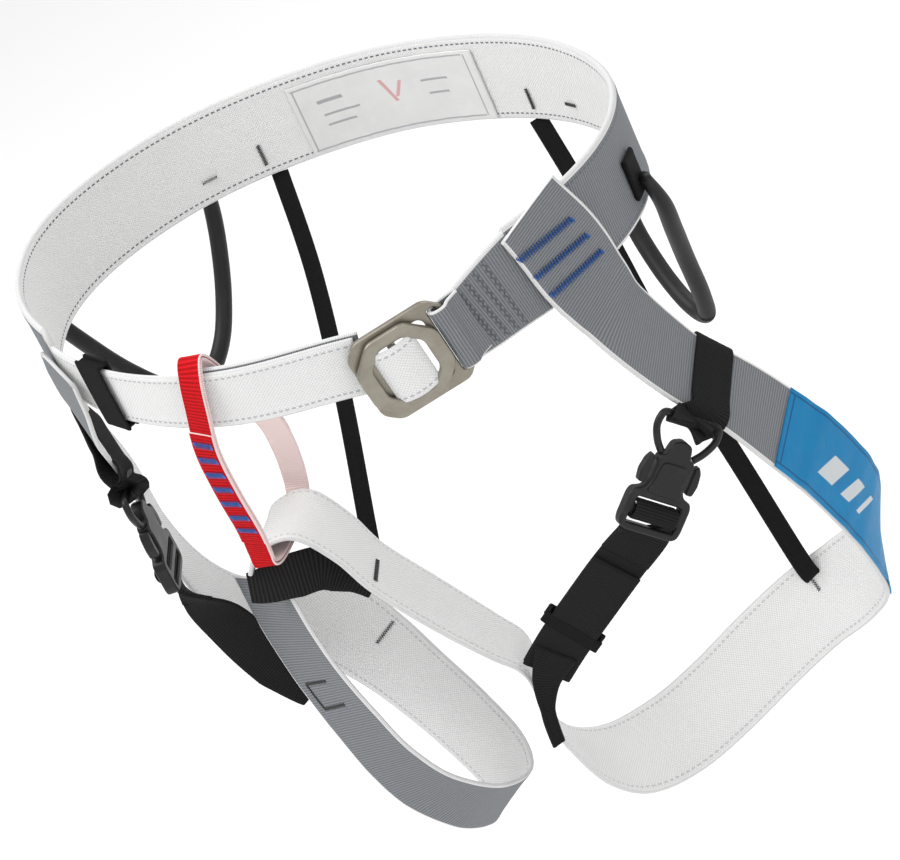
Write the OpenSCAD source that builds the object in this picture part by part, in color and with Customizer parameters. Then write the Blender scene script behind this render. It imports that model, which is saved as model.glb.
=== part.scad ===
// Adjustable climbing harness: white waist belt with a double-back buckle,
// red belay loop, two leg loops joined by a crotch bridge, two leg clips
// with adjusting straps, two elastic risers and two gear loops.
// Units are millimetres. The origin is the centre of the waist ring,
// +Z is up and the wearer faces -Y. The wearer's left is +X.

/* [Waist] */
// Half width of the waist ring, side to side
ring_a = 157; // [130:1:190]
// Half depth of the waist ring, front to back
ring_b = 130; // [105:1:160]
// Height of the waist belt webbing
belt_h = 50; // [38:1:60]
// Thickness of the waist belt
belt_t = 3; // [2:0.1:5]
// Height of the front waist strap
strap_h = 30; // [25:1:38]
// Thickness of single webbing
web_t = 2; // [1.5:0.1:3]

/* [Legs] */
// Width of the leg webbing
leg_w = 45; // [30:1:60]
// Width of the black adjusting straps
adj_w = 25; // [20:1:30]
// Width of the elastic risers
elastic_w = 10; // [6:1:15]

/* [Buckles] */
// Length of the waist buckle along the strap
buckle_l = 46; // [38:1:55]
// Height of the waist buckle
buckle_h = 44; // [36:1:50]
// Thickness of each buckle plate
plate_t = 3; // [2:0.5:4]
// Width of each leg clip across its strap
clip_w = 33; // [28:1:38]

/* [Loops] */
// Width of the belay loop webbing
belay_w = 12; // [10:1:20]
// Thickness of the belay loop webbing
belay_t = 3; // [2:0.1:5]
// Diameter of each gear loop
gear_d = 9; // [6:0.5:10]

/* [Hidden] */
// Smallest gap between pieces that lie on each other
gap = 0.3;
// Rings per route station
fine = 4;

// ---------- curve helpers ----------
function unit(v) = v / norm(v);
function sgnpow(v, p) = sign(v) * pow(abs(v), p);
function blend4(a, b, c, d, t) =
    0.5 * (2*b + (c - a)*t + (2*a - 5*b + 4*c - d)*t*t + (3*b - a - 3*c + d)*t*t*t);
function pick(route, i, k) = route[min(max(i, 0), len(route) - 1)][k];
function cyc(route, i, k) = route[(i + len(route)) % len(route)][k];
function at(route, s, k) =
    let (i = min(floor(s), len(route) - 2), t = s - i)
    blend4(pick(route, i - 1, k), pick(route, i, k), pick(route, i + 1, k),
        pick(route, i + 2, k), t);
function at_loop(route, s, k) =
    let (i = floor(s), t = s - i)
    blend4(cyc(route, i - 1, k), cyc(route, i, k), cyc(route, i + 1, k),
        cyc(route, i + 2, k), t);
// Direction of travel along an open route
function run(route, s) =
    let (m = len(route) - 1, a = max(s - 0.05, 0), b = min(s + 0.05, m))
    unit(at(route, b, 0) - at(route, a, 0));
// Across direction, square to the run
function across(route, s) =
    let (t = run(route, s), a = at(route, s, 1))
    unit(a - (a * t) * t);
// Outer face direction
function face(route, s) = cross(across(route, s), run(route, s));
// One rectangular section of a strip
function section(c, a, n, w, t, off) = [
    c - a*w/2 + n*(off - t/2), c + a*w/2 + n*(off - t/2),
    c + a*w/2 + n*(off + t/2), c - a*w/2 + n*(off + t/2)];
// Side triangles of m rings of k points; on a strip both broad faces share
// the same diagonal, so a twisted strip keeps its thickness
function sides(m, k, wrap) = [
    for (i = [0 : m - (wrap ? 1 : 2)]) for (j = [0 : k - 1])
        let (a = k*i + j, b = k*i + (j + 1) % k,
            c = k*((i + 1) % m) + (j + 1) % k, d = k*((i + 1) % m) + j)
        each (k == 4 && j == 2) ? [[a, b, d], [b, c, d]] : [[a, b, c], [a, c, d]]];

// A flat strip from station s0 to s1 of a route, w wide and t thick
module strip(route, w, t, s0 = 0, s1 = -1, off = 0, w1 = -1, n = fine) {
    e = s1 < 0 ? len(route) - 1 : s1;
    m = max(2, ceil((e - s0) * n) + 1);
    wb = w1 < 0 ? w : w1;
    pts = [for (i = [0 : m - 1])
        let (s = s0 + (e - s0) * i / (m - 1), k = i / (m - 1))
        each section(at(route, s, 0), across(route, s), face(route, s),
            w + (wb - w)*k, t, off)];
    polyhedron(pts, concat([[3, 2, 1, 0]], sides(m, 4, false),
        [[4*m - 4, 4*m - 3, 4*m - 2, 4*m - 1]]));
}

// Places children on a route: X across, Y along the run, Z out of the face
module on_route(route, s, off = 0) {
    c = at(route, s, 0);
    x = across(route, s);
    z = face(route, s);
    y = cross(z, x);
    p = c + z * off;
    multmatrix([[x[0], y[0], z[0], p[0]], [x[1], y[1], z[1], p[1]],
        [x[2], y[2], z[2], p[2]], [0, 0, 0, 1]]) children();
}

// Places children in a frame given by its origin and two directions
module in_frame(p, xd, yd) {
    x = unit(xd);
    y = unit(yd - (yd * x) * x);
    z = cross(x, y);
    multmatrix([[x[0], y[0], z[0], p[0]], [x[1], y[1], z[1], p[1]],
        [x[2], y[2], z[2], p[2]], [0, 0, 0, 1]]) children();
}

// ---------- waist ring ----------
// Point of the waist ring at angle t, measured from the back centre to +X
function ring(t, z = 0) = [
    ring_a * sgnpow(sin(t), 2/1.88) * (1 + 0.07*cos(t)),
    ring_b * sgnpow(cos(t), 2/1.88), z];
function ring_run(t) = unit(ring(t + 0.2) - ring(t - 0.2));
function ring_out(t) = cross([0, 0, 1], ring_run(t));
// Front sag of the strap and the buckle tab
function sag(t) = -9 * exp(-pow((t - 142) / 13, 2));
// Part of the ring as a route for strip()
function ring_route(t0, t1, step, dip = 0) =
    let (m = ceil(abs(t1 - t0) / step))
    [for (i = [0 : m]) let (t = t0 + (t1 - t0) * i / m)
        [ring(t, dip * sag(t)), [0, 0, 1]]];

belt_end_l = 124;
belt_end_r = -130;
belt_route = ring_route(belt_end_r, belt_end_l, 5);
label_route = ring_route(-20, 20, 5);
tab_end = 138.5;
tab_route = ring_route(belt_end_l + 1.5, tab_end, 2.5, 1);
strap_start = 157;
strap_route = ring_route(strap_start, 360 + belt_end_r - 0.3, 4, 1);
layer_route = ring_route(strap_start, 186, 4, 1);

// ---------- buckle frame ----------
buckle_t = 147.5;
buckle_p = ring(buckle_t, -8.5);
buckle_x = -ring_run(buckle_t) + [0, 0, 0.13];
buckle_y = [0, 0, 1];
module at_buckle() in_frame(buckle_p, buckle_x, buckle_y) children();

// ---------- leg routes: centre, across ----------
riser_l_route = [
    [[135, -60, 26], [-0.58, -0.8, -0.15]],
    [[139, -55, 6], [-0.56, -0.82, -0.15]],
    [[142, -50.5, -14], [-0.5, -0.86, -0.1]],
    [[146, -48, -32], [-0.35, -0.93, 0]],
    [[152, -46, -52], [-0.2, -0.95, 0.1]],
    [[164, -35, -88], [-0.1, -0.99, 0]],
    [[178, -28, -112], [-0.1, -0.99, -0.1]]];

leg_l_route = [
    [[164, -35, -88], [-0.1, -0.99, 0]],
    [[178, -28, -112], [-0.1, -0.99, -0.1]],
    [[190, -18, -142], [-0.15, -0.95, -0.25]],
    [[202, -9, -175], [-0.2, -0.93, -0.3]],
    [[208, 0, -212], [-0.1, -0.85, -0.5]],
    [[200, 10, -244], [0.05, -0.7, -0.7]],
    [[178, 14, -264], [0.1, -0.5, -0.85]],
    [[154, 12, -277], [0.2, -0.42, -0.88]],
    [[128, 2, -291], [0.25, -0.42, -0.87]],
    [[102, -14, -304], [0.3, -0.42, -0.85]],
    [[78, -30, -312], [0.4, -0.5, -0.75]],
    [[58, -50, -307], [0.5, -0.65, -0.5]],
    [[46, -66, -288], [0.55, -0.75, -0.2]],
    [[42, -74, -262], [0.5, -0.83, 0.2]],
    [[42, -74, -236], [0.4, -0.88, 0.2]],
    [[40, -70, -216], [0.3, -0.93, 0.2]],
    [[30, -68, -196], [0.25, -0.95, 0.15]],
    [[12, -71, -168], [0.2, -0.97, 0.12]],
    [[-6, -76, -137], [0.2, -0.97, 0.12]],
    [[-16, -78, -116], [0.18, -0.97, 0.1]],
    [[-32, -81, -104], [0.15, -0.98, 0.08]],
    [[-50, -85, -106], [0.15, -0.98, 0.08]],
    [[-61, -89, -120], [0.1, -0.98, 0.1]],
    [[-64, -91, -132], [0, -0.99, 0.1]]];
// Station where the leg loop ends and the bridge starts
bridge_s = 15.6;

leg_r_route = [
    [[-61, -95, -146], [-0.74, 0.35, -0.55]],
    [[-58, -98, -164], [-0.72, 0.34, -0.6]],
    [[-52, -102, -188], [-0.72, 0.33, -0.6]],
    [[-43, -106, -214], [-0.73, 0.3, -0.6]],
    [[-33, -108, -242], [-0.74, 0.27, -0.61]],
    [[-22, -104, -268], [-0.75, 0.2, -0.63]],
    [[-8, -92, -291], [-0.75, 0.1, -0.66]],
    [[-1, -72, -303], [-0.73, 0, -0.69]],
    [[-9, -52, -299], [-0.72, -0.08, -0.69]],
    [[-28, -37, -281], [-0.72, -0.14, -0.68]],
    [[-48, -27, -259], [-0.7, -0.2, -0.68]],
    [[-66, -21, -237], [-0.62, -0.38, -0.66]],
    [[-82, -22, -216], [-0.45, -0.62, -0.58]],
    [[-99, -34, -204], [-0.1, -0.9, -0.4]],
    [[-110, -46, -184], [0.2, -0.93, -0.2]],
    [[-119, -54, -156], [0.35, -0.92, 0]],
    [[-124, -58, -122], [0.42, -0.9, 0.05]],
    [[-123, -60, -86], [0.45, -0.89, 0]],
    [[-121, -69, -56], [0.5, -0.86, -0.12]],
    [[-118, -82, -30], [0.62, -0.77, -0.15]],
    [[-112, -89, -8], [0.7, -0.7, -0.15]],
    [[-108.5, -92, 8], [0.72, -0.68, -0.1]]];
// Station where the right leg loop ends and its riser starts
riser_r_s = 17.6;

lining_route = [
    [[-14, -81, -142], [-0.05, -0.42, -0.9]],
    [[-21, -88, -134], [-0.05, -0.42, -0.9]],
    [[-29, -94, -126], [-0.05, -0.42, -0.9]],
    [[-39, -102, -125], [-0.05, -0.42, -0.9]],
    [[-50, -107, -128], [-0.05, -0.42, -0.9]]];

// ---------- leg clips ----------
band_l_s = 5.5;
band_l_bar = [168.5, -59.5, -101];
clip_l_down = [-0.551, -0.504, -0.665];
clip_l_x = [0.563, 0.365, -0.742];
module at_clip_l() in_frame(band_l_bar, clip_l_x, -clip_l_down) children();
band_r_s = 18.3;
band_r_bar = [-104, -95, -62];
clip_r_x = [0.3, -0.95, 0];
module at_clip_r() in_frame(band_r_bar, clip_r_x, [0, 0, 1]) children();

adj_l_route = [
    [[134, -85.5, -143], [0.563, 0.2, -0.742]],
    [[116, -86, -158], [0.62, 0.05, -0.74]],
    [[92, -86, -180], [0.68, -0.05, -0.72]],
    [[72, -85, -199], [0.69, -0.08, -0.72]],
    [[57, -86, -214], [0.6, 0.1, -0.75]]];
end_l_route = [
    [[67, -88.5, -203], [0.69, -0.08, -0.72]],
    [[58, -93, -216], [0.6, 0.2, -0.7]],
    [[54, -98, -232], [0.5, 0.4, -0.3]],
    [[53, -100, -250], [0.4, 0.6, 0]]];
adj_r_route = [
    [[-102, -96, -123.5], [0.5, -0.7, 0.2]],
    [[-93, -94, -137], [0.65, -0.1, 0.6]],
    [[-84, -84.5, -155], [0.65, 0.35, 0.6]],
    [[-74, -79, -174], [0.75, 0, 0.5]],
    [[-64, -77, -192], [0.78, 0, 0.5]],
    [[-54, -78, -210], [0.78, 0, 0.5]]];

elastic_l_route = [
    [[-74, 116, -26], [1, 0, 0]],
    [[-68, 92, -75], [1, 0, 0]],
    [[-63, 55, -130], [0.95, 0.1, 0.1]],
    [[-59, 12, -185], [0.9, 0.2, 0.2]],
    [[-58, -4, -209], [0.8, 0.3, 0.3]]];
elastic_r_route = [
    [[74, 116, -26], [1, 0, 0]],
    [[92, 95, -75], [1, 0, 0]],
    [[115, 62, -140], [0.9, 0.3, 0.1]],
    [[140, 34, -200], [0.85, 0.4, 0.2]],
    [[157, 17, -249], [0.8, 0.4, 0.2]]];

// Half of the belay loop path, closed over the waist strap and the bridge
belay_path = [
    [[-17, -126, 21.5], [1, 0, 0]],
    [[-17.5, -132.5, 15.5], [1, -0.1, 0]],
    [[-21, -134, 0], [1, -0.15, 0.1]],
    [[-28, -131.5, -25], [1, -0.15, 0.15]],
    [[-32, -126.5, -52], [1, -0.15, 0.2]],
    [[-36, -119, -80], [1, -0.15, 0.2]],
    [[-41, -113, -99], [1, -0.1, 0.1]],
    [[-43, -110, -108.5], [1, 0, 0]],
    [[-43, -99, -112], [1, 0, 0]],
    [[-43, -74, -112], [1, 0, 0]],
    [[-43, -60, -110], [1, 0, 0]],
    [[-42, -54, -99], [1, 0.1, 0]],
    [[-32, -66, -72], [1, 0.15, 0.1]],
    [[-18, -90, -40], [1, 0.15, 0.1]],
    [[-15, -113, -8], [1, 0.15, 0]],
    [[-16, -119.5, 12], [1, 0, 0]]];

gear_path_l = [
    [164, 6, -7], [168, 9, -25], [162, 19, -44], [157, 28, -66], [154, 38, -96],
    [148, 47, -114], [135, 60, -112], [121, 76, -97], [111, 91, -76], [112, 102, -50],
    [114, 107, -27], [109, 103, -7]];
gear_path_r = [
    [164, 6, -7], [168, 9, -24], [160, 14, -40], [150, 24, -64], [140, 36, -86],
    [130, 52, -93], [124, 70, -86], [120, 87, -69], [116, 100, -48], [114, 107, -27],
    [109, 103, -7]];

// ---------- waist nodes ----------
module waist_belt() color([0.93, 0.93, 0.92])
    strip(belt_route, belt_h, belt_t, n = 1);

module waist_label() color([0.9, 0.9, 0.88])
    translate([0, 0, -3])
    strip(label_route, belt_h * 0.82, 0.6, off = -belt_t/2 - gap - 0.3, n = 1);

module buckle_tab() color([0.6, 0.62, 0.65])
    strip(tab_route, belt_h - 1, belt_t, w1 = 34, n = 1);

// Rows of box stitching over the tapered tab
module tab_stitches() color([0.35, 0.37, 0.4])
    for (i = [0 : 3])
        strip(tab_route, 38 - 3*i, 0.5, 2.4 + i*0.85, 2.7 + i*0.85,
            off = belt_t/2 + 0.25 + 0.05, n = 4);

module front_strap() color([0.95, 0.95, 0.94])
    strip(strap_route, strap_h, web_t, n = 1);

// Second layer of the strap, behind the first
module strap_layer() color([0.3, 0.31, 0.34])
    strip(layer_route, strap_h - 2, web_t, off = -web_t - gap, n = 1);

// Sleeve with a rectangular hole, x wide and z thick, along Y
module sleeve(x, z, wall, l) difference() {
    cube([x + 2*wall, l, z + 2*wall], center = true);
    cube([x, l + 2, z], center = true);
}

keeper_t = 216;
module waist_keeper() color([0.12, 0.12, 0.12])
    in_frame(ring(keeper_t), [0, 0, 1], ring_run(keeper_t))
        sleeve(strap_h + 2, 5.4, 1.6, 15);

// Chamfered plate outline
function plate(l, h, c) = [[-l/2 + c, -h/2], [l/2 - c, -h/2], [l/2, -h/2 + c],
    [l/2, h/2 - c], [l/2 - c, h/2], [-l/2 + c, h/2], [-l/2, h/2 - c], [-l/2, -h/2 + c]];

module buckle_frame() color([0.6, 0.57, 0.52]) at_buckle()
    difference() {
        translate([0, 0, 2.4]) linear_extrude(plate_t) polygon(plate(buckle_l + 4, buckle_h + 2, 4));
        translate([0, 0, -5]) linear_extrude(20) polygon(plate(27, 33, 2));
        translate([19.2, 0, 0]) cube([4.4, 36, 20], center = true);
    }

module buckle_plate() color([0.64, 0.61, 0.56]) at_buckle()
    translate([-4, 0, 0]) {
        difference() {
            translate([0, 0, 5.9]) linear_extrude(plate_t) polygon(plate(42, 42, 9));
            translate([0, 0, 0]) linear_extrude(20) polygon(plate(27, 30, 5));
        }
        translate([0, 16, 7]) rotate([90, 0, 0]) cylinder(h = 32, r = 2, $fn = 32);
    }

// Waist strap where it crosses the buckle bar
crown_route = [
    [[-9.5, 0, 6.6], [0, 1, 0]],
    [[-5.5, 0, 9.4], [0, 1, 0]],
    [[0, 0, 10.4], [0, 1, 0]],
    [[5.5, 0, 9.4], [0, 1, 0]],
    [[9.5, 0, 6.6], [0, 1, 0]]];
module strap_crown() color([0.96, 0.96, 0.95]) at_buckle()
    translate([-4, 0, 0]) strip(crown_route, 27, 1.6);

// ---------- belay loop ----------
module belay_loop() color([0.8, 0.1, 0.12]) {
    k = len(belay_path);
    m = k * 4;
    pts = [for (i = [0 : m - 1])
        let (s = i * k / m, c = at_loop(belay_path, s, 0),
            d = unit(at_loop(belay_path, s + 0.05, 0) - at_loop(belay_path, s - 0.05, 0)),
            a0 = at_loop(belay_path, s, 1), a = unit(a0 - (a0 * d) * d))
        each section(c, a, cross(a, d), belay_w, belay_t, 0)];
    polyhedron(pts, sides(m, 4, true));
}

// Seven bar tacks along the front strand
module belay_tacks() color([0.15, 0.35, 0.65])
    for (i = [0 : 6])
        strip(belay_path, 9, 0.5, 2.75 + i*0.36, 2.83 + i*0.36,
            off = -belay_t/2 - 0.35, n = 10);

// ---------- leg webbing ----------
module riser_l() color([0.55, 0.58, 0.62])
    strip(riser_l_route, 40, web_t, w1 = leg_w);

module riser_r() color([0.75, 0.76, 0.76])
    strip(leg_r_route, leg_w, web_t, riser_r_s + 0.02, 21, w1 = 34);

// Blue tacks that sew the left riser to the belt
module riser_tacks() color([0.1, 0.4, 0.65])
    for (i = [0 : 2])
        strip(riser_l_route, 34, 0.6, 0.35 + i*0.75, 0.47 + i*0.75,
            off = web_t/2 + 0.75, n = 8);

module leg_loop_l() color([0.85, 0.86, 0.86])
    strip(leg_l_route, leg_w, web_t, 1.03, bridge_s - 0.02);

module leg_loop_r() color([0.85, 0.86, 0.86])
    strip(leg_r_route, leg_w, web_t, 0, riser_r_s - 0.02);

module crotch_bridge() color([0.93, 0.93, 0.92])
    strip(leg_l_route, leg_w, web_t, bridge_s + 0.02, len(leg_l_route) - 1);

module crotch_lining() color([0.13, 0.13, 0.13])
    strip(lining_route, 24, 1.6, w1 = 13);

// ---------- leg bands and clips ----------
// Band folded round the webbing, with a fold that holds the clip bar
module leg_band_l() color([0.1, 0.1, 0.1]) {
    difference() {
        union() {
            on_route(riser_l_route, band_l_s) cube([leg_w + 7, 20, 8], center = true);
            at_clip_l() rotate([0, 90, 0]) cylinder(h = 20, r = 5.2, center = true, $fn = 48);
        }
        on_route(riser_l_route, band_l_s) cube([leg_w + 3, 30, 5.4], center = true);
        at_clip_l() rotate([0, 90, 0]) cylinder(h = 40, r = 3.6, center = true, $fn = 48);
    }
}

module leg_band_r() color([0.1, 0.1, 0.1]) {
    difference() {
        union() {
            on_route(leg_r_route, band_r_s) cube([leg_w + 7, 18, 8], center = true);
            at_clip_r() rotate([0, 90, 0]) cylinder(h = 20, r = 5.2, center = true, $fn = 48);
        }
        on_route(leg_r_route, band_r_s) cube([leg_w + 3, 30, 5.4], center = true);
        at_clip_r() rotate([0, 90, 0]) cylinder(h = 40, r = 3.6, center = true, $fn = 48);
    }
}

// Ring of the clip: bar on the origin, arms down to a joining lug
module clip_ring() {
    rotate([0, 90, 0]) cylinder(h = clip_w - 4, r = 1.8, center = true, $fn = 32);
    translate([0, 0, -1.4]) linear_extrude(2.8)
        polygon([[-16.5, 3], [-12.5, 3], [-12.5, -6], [-7, -13], [7, -13], [12.5, -6],
            [12.5, 3], [16.5, 3], [16.5, -7], [10, -17], [5, -17], [5, -26], [-5, -26],
            [-5, -17], [-10, -17], [-16.5, -7]]);
}

// Body of the clip: face plate, socket for the ring's lug and strap ladder
module clip_body() difference() {
    union() {
        translate([0, 0, -3.5]) linear_extrude(7)
            polygon([[-9, -18], [9, -18], [9, -36], [clip_w/2 - 2, -36], [clip_w/2, -39],
                [clip_w/2, -54], [clip_w/2 - 4, -57], [-clip_w/2 + 4, -57],
                [-clip_w/2, -54], [-clip_w/2, -39], [-clip_w/2 + 2, -36], [-9, -36]]);
        translate([0, -17.5, 2]) cylinder(h = 1.5, r = 7, $fn = 48);
    }
    // socket
    translate([0, -22, 0]) cube([10.8, 10, 3.6], center = true);
    // upper and lower ladder slots
    translate([0, -43.2, 0]) cube([26.5, 4.4, 20], center = true);
    translate([0, -52, 0]) cube([26.5, 4.4, 20], center = true);
}

// Side lever, drawn for the +X side
module clip_lever() {
    translate([0, 0, -2.2]) linear_extrude(4.4)
        polygon([[11, -34.6], [14.6, -34.6], [15.4, -29], [14, -22], [12, -19.5], [11, -21]]);
}

// Strap passing over the middle ladder bar
module clip_web() {
    translate([-adj_w/2, -50.4, 3.8]) cube([adj_w, 5.6, 1.6]);
    translate([-adj_w/2, -45.4, -3.2]) cube([adj_w, 1.5, 7.2]);
    translate([-adj_w/2, -51.4, -3.2]) cube([adj_w, 1.5, 7.2]);
}

module clip_ring_l() color([0.09, 0.09, 0.09]) at_clip_l() clip_ring();
module clip_ring_r() color([0.09, 0.09, 0.09]) at_clip_r() clip_ring();
module clip_body_l() color([0.11, 0.11, 0.11]) at_clip_l() clip_body();
module clip_body_r() color([0.11, 0.11, 0.11]) at_clip_r() clip_body();
module clip_levers_ll() color([0.1, 0.1, 0.1]) at_clip_l() mirror([1, 0, 0]) clip_lever();
module clip_levers_lr() color([0.1, 0.1, 0.1]) at_clip_l() clip_lever();
module clip_levers_rl() color([0.1, 0.1, 0.1]) at_clip_r() mirror([1, 0, 0]) clip_lever();
module clip_levers_rr() color([0.1, 0.1, 0.1]) at_clip_r() clip_lever();
module clip_web_l() color([0.13, 0.13, 0.13]) at_clip_l() clip_web();
module clip_web_r() color([0.13, 0.13, 0.13]) at_clip_r() clip_web();

// ---------- adjusting straps ----------
module leg_strap_l() color([0.12, 0.12, 0.12])
    strip(adj_l_route, adj_w, web_t);

module leg_strap_r() color([0.12, 0.12, 0.12])
    strip(adj_r_route, adj_w, web_t);

// Narrowing end of the left strap, sewn at the crotch
module strap_end_l() color([0.12, 0.12, 0.12])
    strip(end_l_route, 22, web_t, w1 = 8);

module strap_keeper_l() color([0.1, 0.1, 0.1])
    on_route(adj_l_route, 2.6) sleeve(adj_w + 1.4, 4, 1.6, 8);

// ---------- elastics and gear loops ----------
module elastic_l() color([0.1, 0.1, 0.1])
    strip(elastic_l_route, elastic_w, 1.6);

module elastic_r() color([0.1, 0.1, 0.1])
    strip(elastic_r_route, elastic_w, 1.6);

module gear_loop(path) {
    r = [for (p = path) [p]];
    e = len(path) - 1;
    m = e * 4 + 1;
    k = 12;
    up = [0.3, -0.5, 1];
    pts = [for (i = [0 : m - 1])
        let (s = i / 4, c = at(r, s, 0),
            d = unit(at(r, min(s + 0.05, e), 0) - at(r, max(s - 0.05, 0), 0)),
            side = unit(cross(d, [0.87, 0.5, 0])), out = cross(side, d))
        for (j = [0 : k - 1])
            c + gear_d/2 * (cos(360*j/k) * side + sin(360*j/k) * out)];
    polyhedron(pts, concat([[for (j = [k - 1 : -1 : 0]) j]], sides(m, k, false),
        [[for (j = [0 : k - 1]) k*(m - 1) + j]]));
}

module gear_loop_l() color([0.1, 0.1, 0.1]) gear_loop(gear_path_l);
module gear_loop_r() color([0.1, 0.1, 0.1]) mirror([1, 0, 0]) gear_loop(gear_path_r);

// Sewn tabs that hold the two ends of a gear loop
module gear_tabs() {
    in_frame(ring(87) + 2.9 * ring_out(87), [0, 0, 1], ring_run(87))
        translate([2, 0, 0]) cube([16, 16, 2.2], center = true);
    in_frame(ring(40) + 2.9 * ring_out(40), [0, 0, 1], ring_run(40))
        translate([2, 0, 0]) cube([16, 16, 2.2], center = true);
}
module gear_tabs_l() color([0.12, 0.12, 0.12]) gear_tabs();
module gear_tabs_r() color([0.12, 0.12, 0.12]) mirror([1, 0, 0]) gear_tabs();

// ---------- trim ----------
module hip_patch() color([0, 0.5, 0.72])
    strip(leg_l_route, leg_w - 1, 0.7, 2.0, 5.2, off = web_t/2 + 0.35 + 0.6);

// Short black bar tacks on the inner face of the belt
tack_list = [[-29, -12], [29, -12], [-40, -12], [40, -12]];
module belt_tacks() color([0.15, 0.15, 0.15])
    for (k = tack_list)
        in_frame(ring(k[0], k[1]) - (belt_t/2 + 0.45) * ring_out(k[0]),
            [0, 0, 1], ring_run(k[0]))
            cube([abs(k[0]) < 35 ? 12 : 3, abs(k[0]) < 35 ? 2 : 9, 0.5], center = true);

// Bar tacks on the leg webbing
module leg_tacks() color([0.1, 0.1, 0.1]) {
    on_route(leg_r_route, 2.0, web_t/2 + 0.7) {
        translate([5, -7, 0]) cube([20, 1.6, 0.5], center = true);
        translate([5, 7, 0]) cube([20, 1.6, 0.5], center = true);
        translate([-5, 0, 0]) cube([1.6, 12, 0.5], center = true);
    }
    on_route(leg_l_route, 16.9, -web_t/2 - 0.7)
        cube([18, 2, 0.5], center = true);
    on_route(leg_r_route, 10.6, -web_t/2 - 0.9)
        translate([-9, 0, 0]) cube([15, 2, 0.5], center = true);
    on_route(leg_l_route, 6.6, -web_t/2 - 0.7)
        translate([-10, 0, 0]) cube([13, 2, 0.5], center = true);
}

// ---------- assembly ----------
waist_belt();
waist_label();
buckle_tab();
tab_stitches();
front_strap();
strap_layer();
waist_keeper();
buckle_frame();
buckle_plate();
strap_crown();
belay_loop();
belay_tacks();
riser_l();
riser_r();
riser_tacks();
leg_loop_l();
leg_loop_r();
crotch_bridge();
crotch_lining();
leg_band_l();
leg_band_r();
clip_ring_l();
clip_ring_r();
clip_body_l();
clip_body_r();
clip_levers_ll();
clip_levers_lr();
clip_levers_rl();
clip_levers_rr();
clip_web_l();
clip_web_r();
leg_strap_l();
leg_strap_r();
strap_end_l();
strap_keeper_l();
elastic_l();
elastic_r();
gear_loop_l();
gear_loop_r();
gear_tabs_l();
gear_tabs_r();
hip_patch();
belt_tacks();
leg_tacks();
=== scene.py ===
import bpy
import math
import numpy as np
from mathutils import Matrix, Vector


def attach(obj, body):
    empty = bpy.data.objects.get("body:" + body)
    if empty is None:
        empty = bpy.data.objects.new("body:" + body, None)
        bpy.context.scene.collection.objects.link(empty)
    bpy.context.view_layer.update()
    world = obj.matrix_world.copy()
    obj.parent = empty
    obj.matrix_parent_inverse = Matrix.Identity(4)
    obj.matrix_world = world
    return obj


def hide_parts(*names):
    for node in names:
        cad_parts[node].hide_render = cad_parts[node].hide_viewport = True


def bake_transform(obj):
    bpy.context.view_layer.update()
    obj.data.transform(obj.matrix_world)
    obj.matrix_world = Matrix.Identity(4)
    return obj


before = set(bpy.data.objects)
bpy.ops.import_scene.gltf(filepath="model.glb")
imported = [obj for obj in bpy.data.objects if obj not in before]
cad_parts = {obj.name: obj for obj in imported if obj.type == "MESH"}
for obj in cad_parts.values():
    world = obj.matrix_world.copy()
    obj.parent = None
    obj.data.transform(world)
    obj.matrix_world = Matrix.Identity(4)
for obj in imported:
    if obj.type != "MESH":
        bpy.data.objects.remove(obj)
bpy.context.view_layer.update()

MM = 0.001
PI2 = 2 * math.pi

# ------------------------------------------------------------------ camera
# The view looks down at the wearer's front left, turned a little on its side.
AZ, EL, ROLL, DIST, LENS = 29.5, 30.5, -25.5, 1.6, 133.5


def make_camera():
    az, el, roll = map(math.radians, (AZ, EL, ROLL))
    fwd = Vector((-math.sin(az) * math.cos(el), math.cos(az) * math.cos(el), -math.sin(el)))
    right = Vector((math.cos(az), math.sin(az), 0))
    up = right.cross(fwd)
    right2 = right * math.cos(roll) + up * math.sin(roll)
    up2 = -right * math.sin(roll) + up * math.cos(roll)
    eye = right2 * 0.0614 - up2 * 0.0945 - fwd * DIST
    data = bpy.data.cameras.new("camera")
    data.lens = LENS
    data.sensor_width = 36
    data.sensor_fit = "HORIZONTAL"
    data.clip_start = 0.05
    cam = bpy.data.objects.new("camera", data)
    rows = [list(c) for c in zip(right2, up2, -fwd)]
    cam.matrix_world = Matrix.Translation(eye) @ Matrix(rows).to_4x4()
    bpy.context.collection.objects.link(cam)
    bpy.context.scene.camera = cam


make_camera()


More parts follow.
